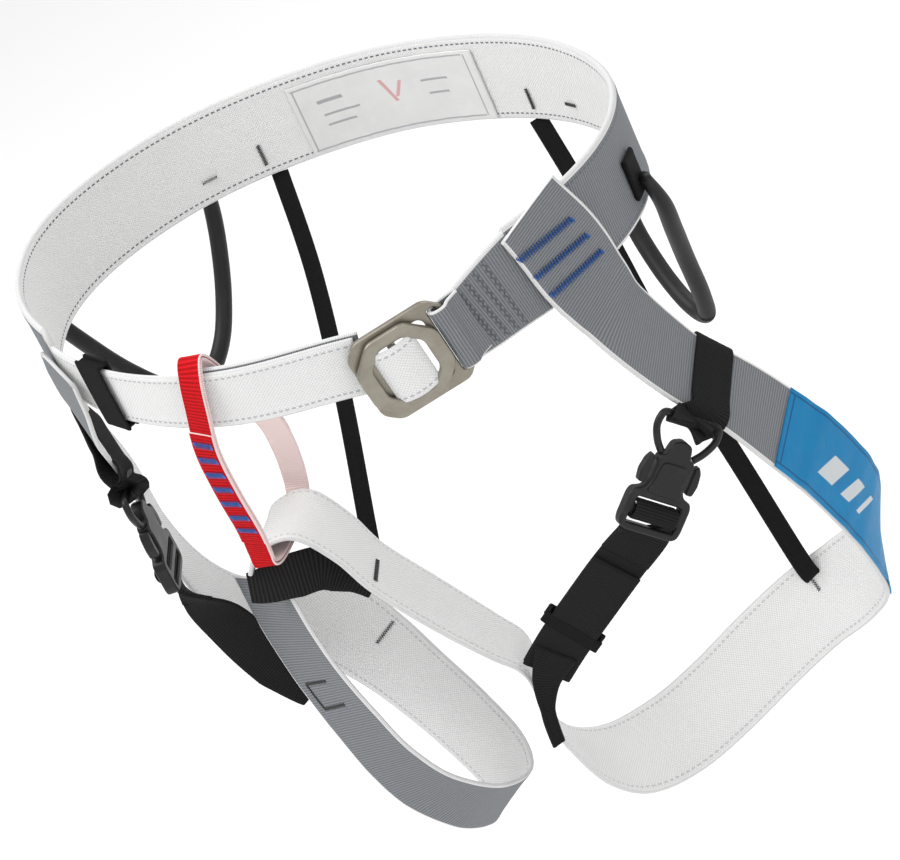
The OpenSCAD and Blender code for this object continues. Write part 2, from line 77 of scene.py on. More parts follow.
# ------------------------------------------------------------ node helpers
class Nodes:
    """Short calls for building one material's node tree."""

    def __init__(self, name):
        self.mat = bpy.data.materials.new(name)
        self.mat.use_nodes = True
        self.tree = self.mat.node_tree
        self.bsdf = self.tree.nodes["Principled BSDF"]

    def set(self, **values):
        for key, value in values.items():
            self.bsdf.inputs[key.replace("_", " ")].default_value = value

    def add(self, kind, *args, out=0, **props):
        node = self.tree.nodes.new(kind)
        for key, value in props.items():
            setattr(node, key, value)
        for i, value in enumerate(args):
            self.put(node.inputs[i], value)
        return node.outputs[out]

    def put(self, socket, value):
        if value is None:
            return
        if isinstance(value, bpy.types.NodeSocket):
            self.tree.links.new(value, socket)
        else:
            socket.default_value = value

    def math(self, op, a, b=None, c=None, clamp=False):
        return self.add("ShaderNodeMath", a, b, c, operation=op, use_clamp=clamp)

    def mix(self, k, a, b):
        node = self.tree.nodes.new("ShaderNodeMix")
        node.data_type = "RGBA"
        self.put(node.inputs[0], k)
        self.put(node.inputs[6], a)
        self.put(node.inputs[7], b)
        return node.outputs[2]

    def noise(self, vec, scale, detail=3.0, rough=0.55):
        node = self.tree.nodes.new("ShaderNodeTexNoise")
        self.put(node.inputs["Vector"], vec)
        node.inputs["Scale"].default_value = scale
        node.inputs["Detail"].default_value = detail
        node.inputs["Roughness"].default_value = rough
        return node.outputs[0]

    def obj(self):
        return self.add("ShaderNodeTexCoord", out=3)

    def uv(self):
        coord = self.add("ShaderNodeTexCoord", out=2)
        node = self.tree.nodes.new("ShaderNodeSeparateXYZ")
        self.put(node.inputs[0], coord)
        return node.outputs[0], node.outputs[1]

    def wave(self, x, pitch, phase=0.0):
        """0..1 sine wave of a length in metres."""
        a = self.math("MULTIPLY_ADD", x, PI2 / pitch, phase)
        return self.math("MULTIPLY_ADD", self.math("SINE", a), 0.5, 0.5)

    def step(self, x, lo, hi):
        node = self.tree.nodes.new("ShaderNodeMapRange")
        node.interpolation_type = "SMOOTHSTEP"
        self.put(node.inputs[0], x)
        node.inputs[1].default_value = lo
        node.inputs[2].default_value = hi
        return node.outputs[0]

    def bump(self, height, distance, strength=1.0):
        node = self.tree.nodes.new("ShaderNodeBump")
        node.inputs["Strength"].default_value = strength
        node.inputs["Distance"].default_value = distance
        self.put(node.inputs["Height"], height)
        self.put(self.bsdf.inputs["Normal"], node.outputs[0])

    def color(self, value):
        self.put(self.bsdf.inputs["Base Color"], value)

    def rough(self, value):
        self.put(self.bsdf.inputs["Roughness"], value)


def rgb(r, g, b):
    return (r, g, b, 1)


# --------------------------------------------------------------- materials
def webbing(name, light, dark, weave="rib", pitch=1.5, half=None, stitch=None,
            edge=None, bump=0.25, sheen=0.06, dirt=0.12):
    """Woven webbing. u runs along the strip and v across it, both in metres."""
    n = Nodes(name)
    u, v = n.uv()
    p = pitch * MM
    warp = n.noise(n.obj(), 60, 2)
    uu = n.math("MULTIPLY_ADD", warp, 0.0006, u)
    if weave == "rib":
        rib = n.wave(uu, p)
        yarn = n.wave(n.math("MULTIPLY_ADD", rib, p * 0.15, v), p * 0.55)
        cloth = n.math("MULTIPLY_ADD", yarn, 0.25, n.math("MULTIPLY", rib, 0.75))
    elif weave == "grid":
        a = n.wave(n.math("ADD", uu, v), p)
        b = n.wave(n.math("SUBTRACT", uu, v), p)
        cloth = n.math("POWER", n.math("MULTIPLY", a, b), 0.6)
    else:
        # plain weave: short ribs that swap sides like bricks
        a = n.wave(uu, p)
        b = n.wave(v, p * 1.3)
        cloth = n.math("ABSOLUTE", n.math("SUBTRACT", a, b))
    fuzz = n.noise(n.obj(), 900, 2, 0.7)
    tone = n.math("MULTIPLY_ADD", fuzz, 0.35, n.math("MULTIPLY", cloth, 0.8), clamp=True)
    col = n.mix(tone, dark, light)
    soil = n.step(n.noise(n.obj(), 14, 4, 0.6), 0.45, 0.8)
    grime = tuple(c * 0.72 for c in light[:3]) + (1,)
    col = n.mix(n.math("MULTIPLY", soil, dirt), col, grime)
    height = n.math("MULTIPLY_ADD", fuzz, 0.25, cloth)
    if half:
        d = n.math("SUBTRACT", half * MM, n.math("ABSOLUTE", v))
        if edge:
            rim = n.math("SUBTRACT", 1.0, n.step(d, 0.35 * MM, 0.9 * MM))
            col = n.mix(rim, col, edge)
        if stitch:
            line = n.math("SUBTRACT", 1.0, n.step(
                n.math("ABSOLUTE", n.math("SUBTRACT", d, 2.6 * MM)), 0.3 * MM, 0.6 * MM))
            dash = n.step(n.wave(u, 3.2 * MM), 0.35, 0.5)
            seam = n.math("MULTIPLY", line, dash)
            col = n.mix(seam, col, stitch)
            height = n.math("MULTIPLY_ADD", seam, 1.2, height)
    n.color(col)
    n.rough(n.math("MULTIPLY_ADD", fuzz, 0.2, 0.72))
    n.bump(height, bump * MM)
    n.set(Sheen_Weight=sheen, Sheen_Roughness=0.5, Specular_IOR_Level=0.12)
    return n.mat


def thread(name, colour, dark):
    n = Nodes(name)
    twist = n.noise(n.obj(), 1500, 2, 0.6)
    n.color(n.mix(twist, dark, colour))
    n.rough(n.math("MULTIPLY_ADD", twist, 0.25, 0.45))
    n.bump(twist, 0.15 * MM)
    n.set(Sheen_Weight=0.2, Specular_IOR_Level=0.4)
    return n.mat


def plastic(name, base, rough=0.42):
    """Black moulded plastic with a fine eroded surface and rubbed high spots."""
    n = Nodes(name)
    grain = n.noise(n.obj(), 2200, 2, 0.6)
    cloud = n.noise(n.obj(), 90, 4, 0.6)
    worn = n.step(cloud, 0.52, 0.75)
    light = tuple(min(1, c * 2.2 + 0.012) for c in base[:3]) + (1,)
    n.color(n.mix(n.math("MULTIPLY", worn, 0.5), base, light))
    n.rough(n.math("MULTIPLY_ADD", cloud, 0.22, rough - 0.1))
    n.bump(grain, 0.05 * MM, 0.6)
    n.set(Specular_IOR_Level=0.35, Coat_Weight=0.05, Coat_Roughness=0.25)
    return n.mat


def alloy(name):
    """Titanium-coloured forged alloy: satin, with fine rubbing marks."""
    n = Nodes(name)
    coord = n.obj()
    stretch = n.add("ShaderNodeMapping", coord)
    stretch.node.inputs["Scale"].default_value = (60, 60, 1400)
    brush = n.noise(stretch, 1.0, 3, 0.6)
    cloud = n.noise(coord, 70, 4, 0.6)
    col = n.mix(n.step(cloud, 0.35, 0.7), rgb(0.24, 0.218, 0.178), rgb(0.33, 0.305, 0.255))
    n.color(n.mix(n.math("MULTIPLY", brush, 0.35), col, rgb(0.42, 0.39, 0.33)))
    n.rough(n.math("MULTIPLY_ADD", brush, 0.16, n.math("MULTIPLY_ADD", cloud, 0.12, 0.27)))
    n.bump(brush, 0.02 * MM, 0.5)
    n.set(Metallic=0.85, Coat_Weight=0.1, Coat_Roughness=0.3)
    return n.mat


# half the width of a printed mark's soft edge, mm
SOFT = 0.3


def satin(name, base, dark, marks):
    """Printed satin. marks is a list of (u, v, length, height, tilt, colour)."""
    n = Nodes(name)
    u, v = n.uv()
    crease_and_shade = n.noise(n.obj(), 75, 3, 0.5)
    yarn = n.wave(v, 0.5 * MM)
    # the crease noise also pulls the colour towards the dark tone: painted shade in the creases, on top of
    # the yarn pattern
    col = n.mix(n.math("MULTIPLY_ADD", yarn, 0.25, n.math("MULTIPLY", crease_and_shade, 0.7)), dark, base)
    for mu, mv, length, height, tilt, ink in marks:
        du = n.math("SUBTRACT", u, mu * MM)
        dv = n.math("SUBTRACT", v, mv * MM)
        du = n.math("MULTIPLY_ADD", dv, tilt, du)
        inside = []
        for d, size in ((du, length), (dv, height)):
            d = n.math("ABSOLUTE", d)
            past = n.step(d, (size / 2 - SOFT) * MM, (size / 2 + SOFT) * MM)
            inside.append(n.math("SUBTRACT", 1.0, past))
        col = n.mix(n.math("MULTIPLY", *inside), col, ink)
    n.color(col)
    n.rough(n.math("MULTIPLY_ADD", crease_and_shade, 0.25, 0.3))
    n.bump(n.math("MULTIPLY_ADD", yarn, 0.08, crease_and_shade), 2.6 * MM, 0.9)
    n.set(Sheen_Weight=0.0, Specular_IOR_Level=0.3)
    return n.mat


WHITE = rgb(0.93, 0.93, 0.92)
WHITE_D = rgb(0.66, 0.665, 0.665)
GREY = rgb(0.28, 0.293, 0.31)
GREY_D = rgb(0.10, 0.106, 0.118)
RIM = rgb(0.84, 0.84, 0.83)
SEAM = rgb(0.16, 0.17, 0.20)
FAINT = rgb(0.5, 0.51, 0.54)
PALE = rgb(0.62, 0.625, 0.64)

belt_in = webbing("belt_inner", WHITE, WHITE_D, "grid", 1.6, 25, SEAM, RIM)
belt_out = webbing("belt_outer", GREY, GREY_D, "rib", 1.5, 25, SEAM, RIM)
leg_in = webbing("leg_inner", WHITE, WHITE_D, "brick", 1.5, 22.5, PALE, RIM, bump=0.22)
leg_out = webbing("leg_outer", GREY, GREY_D, "rib", 1.5, 22.5, None, RIM)
strap_face = webbing("strap_face", WHITE, WHITE_D, "grid", 1.8, 15, FAINT, RIM, bump=0.18)
tab_face = webbing("tab_face", GREY, GREY_D, "rib", 1.3, 24.5, None, None)
rim_mat = webbing("webbing_edge", rgb(0.84, 0.84, 0.83), rgb(0.55, 0.55, 0.56), "rib", 0.9)
red_face = webbing("belay_red", rgb(0.80, 0.012, 0.018), rgb(0.30, 0.002, 0.004), "rib", 1.9,
                   bump=0.6, sheen=0.0, dirt=0)
red_edge = webbing("belay_edge", rgb(0.93, 0.84, 0.83), rgb(0.75, 0.45, 0.44), "rib", 1.0)
red_core = webbing("belay_core", rgb(0.35, 0.01, 0.015), rgb(0.12, 0.004, 0.006), "rib", 1.0)
pink_face = webbing("belay_inner", rgb(0.93, 0.78, 0.76), rgb(0.82, 0.6, 0.58), "rib", 1.4)
black_web = webbing("black_webbing", rgb(0.022, 0.022, 0.023), rgb(0.004, 0.004, 0.004),
                    "rib", 1.3, sheen=0.0, dirt=0.05, bump=0.3)
black_lining = webbing("black_lining", rgb(0.03, 0.03, 0.031), rgb(0.003, 0.003, 0.003),
                       "rib", 1.9, sheen=0.0, dirt=0.05, bump=0.4)
black_knit = webbing("black_elastic", rgb(0.016, 0.016, 0.017), rgb(0.004, 0.004, 0.004),
                     "brick", 1.0, sheen=0.0, dirt=0.05)
thread_blue = thread("thread_blue", rgb(0.01, 0.13, 0.46), rgb(0.004, 0.05, 0.24))
thread_bright = thread("thread_bright", rgb(0.02, 0.24, 0.85), rgb(0.01, 0.12, 0.5))
thread_grey = thread("thread_grey", rgb(0.17, 0.18, 0.21), rgb(0.07, 0.075, 0.09))
thread_black = thread("thread_black", rgb(0.03, 0.03, 0.032), rgb(0.01, 0.01, 0.01))
plastic_black = plastic("clip_plastic", rgb(0.006, 0.006, 0.0065), 0.4)
sheath = plastic("gear_sheath", rgb(0.006, 0.006, 0.0065), 0.5)
metal = alloy("buckle_alloy")
SILVER = rgb(0.72, 0.76, 0.78)
HEM = rgb(0.0, 0.08, 0.24)
# the second colour is mostly painted shade in the creases
patch_mat = satin("hip_patch", rgb(0.0, 0.30, 0.62), rgb(0.0, 0.19, 0.46),
                  [(38, 2, 12, 15, 0.55, SILVER), (55, 2, 7, 15, 0.55, SILVER),
                   (67, 2, 3, 15, 0.55, SILVER),
                   (55, 19.6, 110, 0.8, 0, HEM), (55, -19.6, 110, 0.8, 0, HEM),
                   (3, 0, 0.8, 40, 0, HEM)])
INK = rgb(0.42, 0.42, 0.44)
PALE_RED = rgb(0.75, 0.42, 0.42)
# the second colour is mostly painted shade in the creases
label_mat = satin("inner_label", rgb(0.92, 0.92, 0.91), rgb(0.74, 0.74, 0.74),
                  [(20, 8, 14, 2, 0.2, INK), (24, 0, 20, 1.2, 0.0, INK), (22, -6, 16, 1.2, 0.0, INK),
                   (52, 18.4, 100, 0.8, 0, INK), (52, -18.4, 100, 0.8, 0, INK),
                   (3, 0, 0.8, 37, 0, INK), (103, 0, 0.8, 37, 0, INK),
                   (52, 4, 2.0, 14, 0.4, PALE_RED), (58, 4, 2.0, 9, -0.5, PALE_RED),
                   (80, 6, 16, 1.2, 0.1, INK), (80, -2, 12, 1.2, 0.1, INK)])


# ------------------------------------------------------------ route helpers
def spline(points, s, closed=False):
    """Catmull-Rom position at stations s along given points."""
    p = np.asarray(points, float)
    k = len(p)
    i = np.floor(s).astype(int)
    if not closed:
        i = np.clip(i, 0, k - 2)
    t = (s - i)[:, None]
    pick = (lambda j: p[j % k]) if closed else (lambda j: p[np.clip(j, 0, k - 1)])
    a, b, c, d = pick(i - 1), pick(i), pick(i + 1), pick(i + 2)
    return 0.5 * (2 * b + (c - a) * t + (2 * a - 5 * b + 4 * c - d) * t**2
                  + (3 * b - a - 3 * c + d) * t**3)


def norm(v):
    return v / np.linalg.norm(v, axis=-1, keepdims=True)


def ribs(route, s, closed=False):
    """Centre, across, outward and run directions at stations s."""
    cs = [r[0] for r in route]
    ac = [r[1] for r in route]
    c = spline(cs, s, closed)
    lim = (lambda x: x) if closed else (lambda x: np.clip(x, 0, len(route) - 1))
    t = norm(spline(cs, lim(s + 0.04), closed) - spline(cs, lim(s - 0.04), closed))
    a = spline(ac, s, closed)
    a = norm(a - (a * t).sum(1)[:, None] * t)
    return c, a, np.cross(a, t), t


def link(obj, body, mats=(), replaces=()):
    if obj.name not in bpy.context.collection.objects:
        bpy.context.collection.objects.link(obj)
    for m in mats:
        obj.data.materials.append(m)
    if isinstance(body, tuple):
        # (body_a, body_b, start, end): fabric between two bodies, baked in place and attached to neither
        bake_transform(obj)
    else:
        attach(obj, body)
    for node in replaces:
        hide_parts(node)
    return obj


def grid_mesh(name, rings, uvs, mat_ids, closed):
    """Mesh from rings of points (m, k, 3) in mm, joined round and along."""
    m, k = rings.shape[:2]
    mesh = bpy.data.meshes.new(name)
    faces, face_mats, loop_uv = [], [], []
    for i in range(m if closed else m - 1):
        j0, j1 = i * k, ((i + 1) % m) * k
        for q in range(k):
            r = (q + 1) % k
            faces.append((j0 + q, j0 + r, j1 + r, j1 + q))
            face_mats.append(mat_ids[q])
            u0, u1 = uvs[0][i], uvs[0][i + 1]
            v0, v1 = uvs[1][q], uvs[1][q + 1]
            loop_uv += [(u0, v0), (u0, v1), (u1, v1), (u1, v0)]
    if not closed:
        faces.append(tuple(reversed(range(k))))
        faces.append(tuple(range((m - 1) * k, m * k)))
        face_mats += [2, 2]
        loop_uv += [(uvs[0][0], uvs[1][q]) for q in reversed(range(k))]
        loop_uv += [(uvs[0][-1], uvs[1][q]) for q in range(k)]
    mesh.from_pydata((rings.reshape(-1, 3) * MM).tolist(), [], faces)
    layer = mesh.uv_layers.new(name="UVMap")
    layer.data.foreach_set("uv", np.array(loop_uv, float).ravel())
    mesh.polygons.foreach_set("material_index", face_mats)
    mesh.polygons.foreach_set("use_smooth", [True] * len(faces))
    mesh.validate()
    mesh.update()
    return mesh


def strip(name, route, width, thick, mats, s0=0.0, s1=None, off=0.0, body="harness",
          replaces=(), closed=False, pipe=0.25, step=2.0, shape=None, lift=None):
    """A strip of webbing: two faces, rounded edges and a slight selvedge.
    shape(k) scales the width and lift(k) raises it, k running 0..1 along the strip."""
    end = (len(route) if closed else len(route) - 1) if s1 is None else s1
    probe = spline([r[0] for r in route], np.linspace(s0, end, 60), closed)
    length = np.linalg.norm(np.diff(probe, axis=0), axis=1).sum()
    m = max(6, int(length / step))
    s = np.linspace(s0, end, m + 1)
    if closed:
        s = s[:-1]
    c, a, n, t = ribs(route, s, closed)
    k = np.linspace(0, 1, len(s))
    w = np.full(len(s), width / 2.0) * (shape(k) if shape else 1.0)
    h = np.full(len(s), float(off)) + (lift(k) if lift else 0.0)
    face = np.linspace(-1, 1, 15)
    arc = np.radians([60, 30, 0, -30, -60])
    xs, zs, ids, vs = [], [], [], []
    for x in face:
        xs.append((x, 0)); zs.append((1, x)); ids.append(0); vs.append(x)
    for q in arc:
        xs.append((1, math.cos(q))); zs.append((math.sin(q), 1)); ids.append(2); vs.append(1)
    for x in face[::-1]:
        xs.append((x, 0)); zs.append((-1, x)); ids.append(1); vs.append(x)
    for q in arc[::-1]:
        xs.append((-1, -math.cos(q))); zs.append((math.sin(q), 1)); ids.append(2); vs.append(-1)
    half = thick / 2.0
    flat = np.maximum(w - half, 0.2)
    cols = []
    for (x, r), (z, side) in zip(xs, zs):
        px = flat * x + half * r
        ridge = pipe * math.exp(-((abs(side) - 0.9) / 0.09) ** 2) if abs(side) <= 1 else 0
        pz = half * z + (ridge * z if abs(z) == 1 else 0) + h
        cols.append(c + a * px[:, None] + n * pz[:, None])
    rings = np.stack(cols, axis=1)
    seg = np.linalg.norm(np.diff(np.vstack([c, c[:1]] if closed else [c]), axis=0), axis=1)
    u = np.concatenate([[0], np.cumsum(seg)]) * MM
    v = [x * width / 2 * MM for x in vs] + [vs[0] * width / 2 * MM]
    mat_ids = []
    for q in range(len(ids)):
        nxt = ids[(q + 1) % len(ids)]
        mat_ids.append(ids[q] if ids[q] == nxt else 2)
    # rings run so that quads face outwards
    rings = rings[:, ::-1]
    mat_ids = [mat_ids[(len(ids) - 2 - q) % len(ids)] for q in range(len(ids))]
    v = list(reversed(v[:-1])) + [v[-2]]
    mesh = grid_mesh(name, rings, (u, v), mat_ids, closed)
    obj = bpy.data.objects.new(name, mesh)
    return link(obj, body, mats, replaces)


def tube(name, points, radius, mat, body="harness", replaces=(), sides=16, closed=False,
         per=6, squeeze=None):
    """A round or flattened tube through given points."""
    k = len(points)
    s = np.linspace(0, k if closed else k - 1, k * per + 1)
    if closed:
        s = s[:-1]
    c = spline(points, s, closed)
    d = np.gradient(c, axis=0)
    if closed:
        d = np.roll(c, -1, 0) - np.roll(c, 1, 0)
    d = norm(d)
    up = np.array([0.31, -0.52, 0.8])
    side = norm(np.cross(d, np.cross(np.tile(up, (len(s), 1)), d) + 1e-6))
    out = np.cross(side, d)
    ang = np.linspace(0, PI2, sides, endpoint=False)
    q = np.linspace(0, 1, len(s))
    rx = np.full(len(s), float(radius))
    ry = rx * (squeeze(q) if squeeze else 1.0)
    rings = np.stack([c + side * (rx * math.cos(x))[:, None] + out * (ry * math.sin(x))[:, None]
                      for x in ang], axis=1)
    seg = np.linalg.norm(np.diff(np.vstack([c, c[:1]] if closed else [c]), axis=0), axis=1)
    u = np.concatenate([[0], np.cumsum(seg)]) * MM
    v = [radius * x * MM for x in np.append(ang, PI2)]
    mesh = grid_mesh(name, rings, (u, v), [0] * sides, closed)
    mesh.polygons.foreach_set("material_index", [0] * len(mesh.polygons))
    return link(bpy.data.objects.new(name, mesh), body, [mat], replaces)


def threads(name, lines, radius, mat, body="harness", replaces=()):
    """Many short runs of sewing thread in one curve object."""
    data = bpy.data.curves.new(name, "CURVE")
    data.dimensions = "3D"
    data.bevel_depth = radius * MM
    data.bevel_resolution = 1
    for line in lines:
        sp = data.splines.new("POLY")
        sp.points.add(len(line) - 1)
        for p, co in zip(sp.points, line):
            p.co = (*(np.asarray(co) * MM), 1)
    return link(bpy.data.objects.new(name, data), body, [mat], replaces)


def on_strip(route, s, x, z, closed=False):
    """Points at stations s, x mm across and z mm out of the face."""
    c, a, n, t = ribs(route, np.asarray(s, float), closed)
    return c + a * np.asarray(x, float)[:, None] + n * np.asarray(z, float)[:, None]


def bar_tack(route, s, x0, x1, wide, z, turns=26, closed=False):
    """A dense zigzag from x0 to x1 across the strip, wide measured in stations."""
    k = np.arange(turns)
    return on_strip(route, s + wide * ((k % 2) - 0.5), x0 + (x1 - x0) * k / (turns - 1),
                    np.full(turns, z), closed)


# --------------------------------------------------------------- the ring
def ring(t, z=0.0):
    t = math.radians(t)
    s, c = math.sin(t), math.cos(t)
    return [157 * math.copysign(abs(s) ** (2 / 1.88), s) * (1 + 0.07 * c),
            130 * math.copysign(abs(c) ** (2 / 1.88), c), z]


def sag(t):
    return -9 * math.exp(-((t - 142) / 13) ** 2)


def ring_route(t0, t1, step, dip=0.0):
    m = math.ceil(abs(t1 - t0) / step)
    return [(ring(t0 + (t1 - t0) * i / m, dip * sag(t0 + (t1 - t0) * i / m)), (0, 0, 1))
            for i in range(m + 1)]


def ring_run(t):
    return norm(np.array(ring(t + 0.2)) - np.array(ring(t - 0.2)))


def local_frame(origin, xd, yd):
    x = norm(np.array(xd, float))
    y = np.array(yd, float)
    y = norm(y - (y @ x) * x)
    return np.array(origin, float), np.stack([x, y, np.cross(x, y)], axis=1)


BELT = ring_route(-130, 124, 5)
TAB = ring_route(122, 140.5, 2.5, 1)
STRAP = ring_route(156, 232, 4, 1)
LAYER = ring_route(155, 187, 4, 1)

RISER_L = [
    ((135, -60, 26), (-.58, -.8, -.15)), ((139, -55, 6), (-.56, -.82, -.15)),
    ((142, -50.5, -14), (-.5, -.86, -.1)), ((146, -48, -32), (-.35, -.93, 0)),
    ((152, -46, -52), (-.2, -.95, .1))]
LEG_L = [
    ((164, -35, -88), (-.1, -.99, 0)), ((178, -28, -112), (-.1, -.99, -.1)),
    ((190, -18, -142), (-.15, -.95, -.25)), ((202, -9, -175), (-.2, -.93, -.3)),
    ((208, 0, -212), (-.1, -.85, -.5)), ((200, 10, -244), (.05, -.7, -.7)),
    ((178, 14, -264), (.1, -.5, -.85)), ((154, 12, -277), (.2, -.42, -.88)),
    ((128, 2, -291), (.25, -.42, -.87)), ((102, -14, -304), (.3, -.42, -.85)),
    ((78, -30, -312), (.4, -.5, -.75)), ((58, -50, -307), (.5, -.65, -.5)),
    ((46, -66, -288), (.55, -.75, -.2)), ((42, -74, -262), (.5, -.83, .2)),
    ((42, -74, -236), (.4, -.88, .2)), ((40, -70, -216), (.3, -.93, .2)),
    ((29, -71, -201), (.25, -.95, .15)), ((11, -75, -174), (.2, -.97, .12)),
    ((-7, -80, -143), (.2, -.97, .12)), ((-17, -80.5, -121), (.18, -.97, .1)),
    ((-32, -81, -104), (.15, -.98, .08)), ((-50, -85, -106), (.15, -.98, .08)),
    ((-58, -88, -118), (.1, -.98, .1))]
LEG_R = [
    ((-63, -92, -130), (-.74, .36, -.5)),
    ((-61, -95, -146), (-.74, .35, -.55)), ((-58, -98, -164), (-.72, .34, -.6)),
    ((-52, -102, -188), (-.72, .33, -.6)), ((-43, -106, -214), (-.73, .3, -.6)),
    ((-33, -108, -242), (-.74, .27, -.61)), ((-22, -104, -268), (-.75, .2, -.63)),
    ((-8, -92, -291), (-.75, .1, -.66)), ((-1, -72, -303), (-.73, 0, -.69)),
    ((-9, -52, -299), (-.72, -.08, -.69)), ((-28, -37, -281), (-.72, -.14, -.68)),
    ((-48, -27, -259), (-.7, -.2, -.68)), ((-66, -21, -237), (-.62, -.38, -.66)),
    ((-82, -22, -216), (-.45, -.62, -.58)), ((-99, -34, -204), (-.1, -.9, -.4)),
    ((-110, -46, -184), (.2, -.93, -.2)), ((-119, -54, -156), (.35, -.92, 0)),
    ((-124, -58, -122), (.42, -.9, .05)), ((-123, -60, -86), (.45, -.89, 0)),
    ((-121, -69, -56), (.5, -.86, -.12)), ((-118, -82, -30), (.62, -.77, -.15)),
    ((-112, -89, -8), (.7, -.7, -.15)), ((-108.5, -92, 8), (.72, -.68, -.1))]
WEB = RISER_L + LEG_L
LOOP_L = len(RISER_L)

# ------------------------------------------------------------- waist parts
strip("waist_belt_webbing", BELT, 50, 3, [belt_out, belt_in, rim_mat], pipe=0.35,
      replaces=["waist_belt"],
      lift=lambda k: 0.5 * np.sin(k * 31) * np.sin(k * 13))
LABEL = ring_route(-20, 20, 4)
label = strip("inner_label", [((p[0], p[1], p[2] - 3), a) for p, a in LABEL], 41, 0.6,
      [label_mat, label_mat, label_mat], off=-2.3, replaces=["waist_label"], pipe=0,
      lift=lambda k: -0.35 * (np.sin(k * 40) * np.sin(k * 17)) ** 2)

taper = lambda k: 1 - 0.32 * np.clip(k, 0, 1) ** 1.2
strip("buckle_tab", TAB, 49, 3, [tab_face, tab_face, rim_mat], shape=taper, pipe=0.2,
      replaces=["buckle_tab"])
STEPS = 40
square_wave = np.array([0, 0, 1, 1])
tab_lines = []
for i in range(5):
    s = 2.6 + i * 0.85
    wide = 20 * (1 - 0.05 * i)
    k = np.arange(STEPS + 1)
    tab_lines.append(on_strip(TAB, s + 0.22 * square_wave[k % 4],
                              -wide + 2 * wide * k / STEPS, np.full(STEPS + 1, 1.75)))
threads("tab_stitching", tab_lines, 0.28, thread_grey, replaces=["tab_stitches"])

strip("front_strap", STRAP, 30, 2, [strap_face, strap_face, rim_mat], pipe=0.3,
      replaces=["front_strap"])
# the second layer shows as a dark line above the strap
LAYER_RISE = 2.4
raised_layer = [((x, y, z + LAYER_RISE), a) for (x, y, z), a in LAYER]
strip("strap_second_layer", raised_layer, 28, 2, [tab_face, tab_face, rim_mat], off=-2.3,
      replaces=["strap_layer"])


def sleeve_route(origin, xd, yd, half_x, half_z, corner=1.2):
    """Closed route round a strap: a flat ring in the x-z plane of a frame."""
    o, m = local_frame(origin, xd, yd)
    pts = []
    for sx, sz in ((1, 1), (-1, 1), (-1, -1), (1, -1)):
        order = ((0, 1), (1, 0)) if sx * sz < 0 else ((1, 0), (0, 1))
        for ex, ez in order:
            pts.append((sx * (half_x - corner * ez), 0, sz * (half_z - corner * ex)))
    return [(o + m @ np.array(p), m[:, 1]) for p in pts]


strip("waist_keeper", sleeve_route(ring(214), (0, 0, 1), ring_run(214), 16.8, 2.9), 19, 1.2,
      [black_knit] * 3, body="waist_keeper", replaces=["waist_keeper"], closed=True, pipe=0.1,
      step=1.2)


# ------------------------------------------------------------- the buckle
def rounded(points, radius, n=5):
    """A polygon with its corners rounded."""
    out = []
    m = len(points)
    for i in range(m):
        p0, p1, p2 = (np.array(points[(i + j) % m], float) for j in (-1, 0, 1))
        a, b = norm(p0 - p1), norm(p2 - p1)
        r = min(radius, np.linalg.norm(p0 - p1) / 2.1, np.linalg.norm(p2 - p1) / 2.1)
        for j in range(n + 1):
            t = j / n
            out.append((1 - t) ** 2 * (p1 + a * r) + 2 * t * (1 - t) * p1 + t * t * (p1 + b * r))
    return out


def plate(name, loops, z0, z1, bevel, where, mat, body, replaces=()):
    """A bevelled plate with holes: loops[0] is its outline, the rest are openings."""
    data = bpy.data.curves.new(name + "_outline", "CURVE")
    data.dimensions = "2D"
    data.fill_mode = "BOTH"
    data.extrude = ((z1 - z0) / 2 - bevel) * MM
    data.bevel_depth = bevel * MM
    data.bevel_resolution = 3
    data.offset = -bevel * MM
    for loop in loops:
        sp = data.splines.new("POLY")
        sp.points.add(len(loop) - 1)
        sp.use_cyclic_u = True
        for p, co in zip(sp.points, loop):
            p.co = (co[0] * MM, co[1] * MM, 0, 1)
    tmp = bpy.data.objects.new(name + "_tmp", data)
    bpy.context.collection.objects.link(tmp)
    dg = bpy.context.evaluated_depsgraph_get()
    mesh = bpy.data.meshes.new_from_object(tmp.evaluated_get(dg))
    bpy.data.objects.remove(tmp)
    o, m = where
    for vert in mesh.vertices:
        p = np.array(vert.co) / MM
        p[2] += (z0 + z1) / 2
        vert.co = (o + m @ p) * MM
    for poly in mesh.polygons:
        poly.use_smooth = True
    mesh.materials.clear()
    obj = bpy.data.objects.new(name, mesh)
    obj.data.materials.append(mat)
    link(obj, body, (), replaces)
    sharp = obj.modifiers.new("edges", "WEIGHTED_NORMAL")
    sharp.keep_sharp = True
    return obj


def at(where, p):
    return where[0] + where[1] @ np.array(p, float)


def octagon(l, h, c):
    return [(-l/2 + c, -h/2), (l/2 - c, -h/2), (l/2, -h/2 + c), (l/2, h/2 - c),
            (l/2 - c, h/2), (-l/2 + c, h/2), (-l/2, h/2 - c), (-l/2, -h/2 + c)]


def move(points, dx, dy):
    return [(p[0] + dx, p[1] + dy) for p in points]


BUCKLE = local_frame(ring(147.5, -8.5), -ring_run(147.5) + np.array([0, 0, .13]), (0, 0, 1))
bar_slot = [(17, -18), (21.4, -18), (21.4, 18), (17, 18)]
plate("buckle_rear_frame", [rounded(octagon(50, 46, 7), 3), rounded(octagon(27, 33, 2), 2),
                            rounded(bar_slot, 1.5)],
      2.4, 5.4, 0.7, BUCKLE, metal, "harness", ["buckle_frame"])


